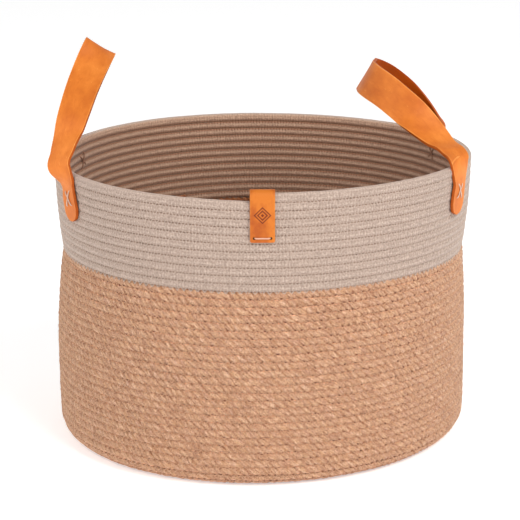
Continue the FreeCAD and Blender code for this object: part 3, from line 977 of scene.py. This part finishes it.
def thread_ring(points, thick):
    """Closed ring of thread through points."""
    curve = bpy.data.curves.new("thread_path", "CURVE")
    curve.dimensions = "3D"
    curve.bevel_depth = thick / 2
    curve.bevel_resolution = 2
    curve.resolution_u = 6
    line = curve.splines.new("BEZIER")
    line.bezier_points.add(len(points) - 1)
    for target, point in zip(line.bezier_points, points):
        target.co = point
        target.handle_left_type = "AUTO"
        target.handle_right_type = "AUTO"
    line.use_cyclic_u = True
    ring = bpy.data.objects.new("thread", curve)
    bpy.context.scene.collection.objects.link(ring)
    only(ring)
    bpy.ops.object.convert(target="MESH")
    return bpy.context.object


def cross_stitch(handle, side, material, shaded):
    """Two crossing arms of doubled thread through tab and wall."""
    centre, width_dir, radial = tab_station(handle, side, CROSS_DROPS[handle])
    run = radial.cross(width_dir).normalized()
    if run.z < 0:
        run = -run
    outside = STRAP_THICK / 2 + CROSS_PROUD
    inside = -(STRAP_THICK / 2 + TAB_GAP + 2 * COTTON_HALF + CROSS_PROUD_INSIDE)
    rings = []
    for arm in (1, -1):
        for strand in (-CROSS_SPREAD, CROSS_SPREAD):
            ends = []
            for end in (1, -1):
                ends.append(
                    centre + width_dir * (end * arm * CROSS_WIDTH / 2 + strand)
                    + run * (end * CROSS_HEIGHT / 2)
                )
            level = CROSS_OVER if arm == 1 else 0.0
            points = []
            for depth, rise, order in ((outside, level, 1), (inside, -level, -1)):
                for share in (0.0, 0.08, 0.5, 0.92, 1.0)[::order]:
                    lift = rise * (1 - abs(share - 0.5) * 2)
                    sunk = -order * CROSS_SUNK if share in (0.0, 1.0) else 0.0
                    points.append(ends[0].lerp(ends[1], share) + radial * (depth + lift + sunk))
            rings.append(thread_ring([settle(p) for p in points], CROSS_THREAD))
    bpy.ops.object.select_all(action="DESELECT")
    for ring in rings:
        ring.select_set(True)
    bpy.context.view_layer.objects.active = rings[0]
    bpy.ops.object.join()
    cross = bpy.context.object
    node = "stitch_" + handle + "_" + ("back" if at_back(handle, side) else "front")
    cross.name = node + "_thread"
    smooth(cross, 60)
    finish_piece(cross, "basket", material, "stitch_thread", node)
    # The bars on the inside lie in the shade of the ropes: a darker copy of the thread, painted shade
    cross.data.materials.append(shaded)
    wall = settle(centre - radial * (STRAP_THICK / 2 + COTTON_HALF)).dot(radial)
    for polygon in cross.data.polygons:
        if polygon.center.dot(radial) < wall:
            polygon.material_index = 1


# ---------------------------------------------------------------- label
def label_rows():
    """Rows along the folded label: up outside, over the rim and down inside."""
    azimuth = math.radians(LABEL_AZIMUTH)
    outer = LABEL_GAP + LABEL_THICK / 2
    stations = []
    for drop in (LABEL_DROP, 0.66 * LABEL_DROP, 0.33 * LABEL_DROP, 2 * MM):
        height = COTTON_TOP - drop
        stations.append(polar(crest_radius(height) + outer, azimuth, height))
    middle = crest_radius(COTTON_TOP) - RIM_HALF
    for angle in (30, 60, 90, 120, 150):
        reach = RIM_HALF + outer
        stations.append(polar(
            middle + reach * math.cos(math.radians(angle)), azimuth,
            COTTON_TOP + (reach + LABEL_LIFT) * math.sin(math.radians(angle)),
        ))
    for drop in (2 * MM, 0.33 * LABEL_DROP, 0.66 * LABEL_DROP, LABEL_DROP):
        height = COTTON_TOP - drop
        stations.append(polar(
            crest_radius(height) - 2 * COTTON_HALF - outer, azimuth, height
        ))
    width = Vector((-1, 0, 0))
    return sweep_rows([(centre, width, LABEL_WIDTH / 2) for centre in stations], LABEL_ROW)


def label_leather():
    """Label leather with a burnt mark of two nested diamonds, like a woven knot."""
    material = make_leather("label_leather_grain", [
        (0.40, (0.40, 0.080, 0.005)), (0.50, (0.49, 0.117, 0.008)), (0.60, (0.57, 0.155, 0.013)),
    ], 0.35, 0.3, (1.10, 1.3, 1.8))
    tree = material.node_tree
    flat = stored(tree, "flat")
    per_mark = 1 / MARK_HALF
    run = calculated(tree, "ADD", along(tree, flat, (per_mark, 0, 0)), -MARK_RISE * per_mark)
    side = along(tree, flat, (0, per_mark, 0))
    reach = calculated(
        tree, "ADD", calculated(tree, "ABSOLUTE", run), calculated(tree, "ABSOLUTE", side)
    )
    burnt = (0.30, 0.13, 0.07)
    shade_leather(material, reach, [
        (0.18, burnt), (0.22, WHITE), (0.40, WHITE), (0.43, burnt), (0.61, burnt), (0.64, WHITE),
        (0.79, WHITE), (0.82, burnt), (0.97, burnt), (1.0, WHITE),
    ])
    return material


def build_label():
    rows = label_rows()
    length = rows[-1][0]
    leathers = [
        label_leather(),
        make_leather("label_leather_flesh", [
            (0.30, (0.30, 0.06, 0.006)), (0.70, (0.40, 0.09, 0.01)),
        ], 0.8, 0.05),
        make_leather("label_leather_edge", [
            (0.30, (0.46, 0.11, 0.014)), (0.70, (0.62, 0.17, 0.03)),
        ], 0.5, 0.2),
    ]
    label = leather_strip(
        "label_strip", rows, LABEL_THICK, LABEL_COLUMNS, LABEL_CORNER, leathers
    )
    # The stitch holes' walls are painted near black: painted shade inside the holes
    hole_shade = make_leather("label_stitch_hole", [
        (0.30, (0.05, 0.010, 0.002)), (0.70, (0.09, 0.02, 0.003)),
    ], 0.5, 0.05)
    label.data.materials.append(hole_shade)
    points = []
    for at in (LABEL_HOLE_RISE, length - LABEL_HOLE_RISE):
        place = min(rows, key=lambda row: abs(row[0] - at))[1]
        facing = 1 if at < length / 2 else -1
        for share in (-0.5, 0.5):
            centre = settle(place + Vector((share * LABEL_HOLE_SPACING, 0, 0)))
            bpy.ops.mesh.primitive_cylinder_add(
                vertices=20, radius=LABEL_HOLE_HALF, depth=LABEL_THICK,
                location=centre - Vector((0, facing * LABEL_THICK * 0.3, 0)),
                rotation=(math.pi / 2, 0, 0),
            )
            cutter = bpy.context.object
            for material in label.data.materials:
                cutter.data.materials.append(material)
            for polygon in cutter.data.polygons:
                polygon.material_index = 3
            bite = label.modifiers.new("stitch_hole", "BOOLEAN")
            bite.operation = "DIFFERENCE"
            bite.solver = "EXACT"
            bite.object = cutter
            apply_all(label)
            bpy.data.objects.remove(cutter)
            points.append((centre, facing))
    smooth(label, 50)
    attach(label, "basket")
    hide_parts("label")
    # One ring of thread: a bar outside, a bar inside, both sunk into the holes
    loop = []
    for pair in (points[:2], points[:1:-1]):
        ends = [Vector(p[0]) for p in pair]
        facing = pair[0][1]
        over = -facing * (LABEL_THICK / 2 + LABEL_THREAD_HALF * 0.6)
        sunk = facing * LABEL_THICK * 0.8
        for share, depth in ((0.05, sunk), (0.12, 0.0), (0.5, 0.0), (0.88, 0.0), (0.95, sunk)):
            loop.append(ends[0].lerp(ends[1], share) + Vector((0, over + depth, 0)))
    thread = thread_ring(loop, 2 * LABEL_THREAD_HALF)
    thread.name = "label_thread"
    smooth(thread, 60)
    pale = make_thread("label_thread", (0.70, 0.43, 0.31), (0.60, 0.34, 0.23))
    finish_piece(thread, "basket", pale, "stitch_thread", "label_stitch")


def build_handles():
    materials = strap_materials()
    thread = make_thread("stitch_thread", (0.70, 0.50, 0.39), (0.50, 0.31, 0.22))
    # Darker copy of the stitch thread: painted shade for the bars inside the bin
    shaded = make_thread("stitch_thread_inside", (0.38, 0.19, 0.11), (0.17, 0.07, 0.035))
    for handle in HANDLES:
        build_strap(handle, materials)
        for side in (-1, 1):
            cross_stitch(handle, side, thread, shaded)


# ---------------------------------------------------------------- scene
def build_stage():
    bpy.ops.mesh.primitive_plane_add(size=30.0)
    floor = bpy.context.object
    floor.name = "studio_floor"
    material = node_material("studio_floor", {
        "Base Color": (0.95, 0.95, 0.95, 1.0), "Roughness": 0.9,
        "Emission Color": (1.0, 1.0, 1.0, 1.0), "Emission Strength": 0.42,
    })[0]
    floor.data.materials.append(material)
    world = bpy.data.worlds.new("studio")
    bpy.context.scene.world = world
    world.use_nodes = True
    tree = world.node_tree
    height = tree.nodes.new("ShaderNodeSeparateXYZ")
    place = tree.nodes.new("ShaderNodeTexCoord").outputs["Generated"]
    tree.links.new(place, height.inputs["Vector"])
    dome = ramp(tree, height.outputs["Z"], [(0.0, WHITE), (0.25, WHITE), (0.8, (0.30, 0.30, 0.30))])
    background = tree.nodes["Background"]
    background.inputs["Strength"].default_value = 1.05
    tree.links.new(dome, background.inputs["Color"])
    bpy.context.scene.view_settings.view_transform = "Standard"


def area_light(name, place, target, size, power):
    bpy.ops.object.light_add(type="AREA", location=place)
    light = bpy.context.object
    light.name = name
    light.data.size = size
    light.data.energy = power
    light.rotation_euler = (Vector(target) - Vector(place)).to_track_quat("-Z", "Y").to_euler()


def build_lights():
    area_light("key", (1.2, -1.6, 1.9), (0, 0, 0.15), 1.2, 39)
    area_light("fill", (-1.6, -1.2, 1.2), (0, 0, 0.15), 1.6, 13)


CAMERA_DISTANCE = 2.0
CAMERA_SIDE = -0.0026
CAMERA_SENSOR = 36.0            # millimetres
CAMERA_SPAN = 0.520             # width of the view at the bin, in metres
CAMERA_ELEVATION = math.radians(15.57)
CAMERA_ROLL = math.radians(1.21)
CAMERA_PIVOT = 0.140
CAMERA_AIM = Vector((-0.0022, 0.0, 0.164))


def build_camera():
    bpy.ops.object.camera_add(location=(
        CAMERA_SIDE,
        -CAMERA_DISTANCE * math.cos(CAMERA_ELEVATION),
        CAMERA_PIVOT + CAMERA_DISTANCE * math.sin(CAMERA_ELEVATION),
    ))
    camera = bpy.context.object
    camera.data.sensor_width = CAMERA_SENSOR
    camera.data.lens = CAMERA_SENSOR * CAMERA_DISTANCE / CAMERA_SPAN
    view = (CAMERA_AIM - camera.location).to_track_quat("-Z", "Y").to_matrix()
    camera.rotation_euler = (view @ Matrix.Rotation(-CAMERA_ROLL, 3, "Z")).to_euler()
    bpy.context.scene.camera = camera


build_camera()
build_stage()
build_lights()
build_ropes()
build_handles()
build_label()
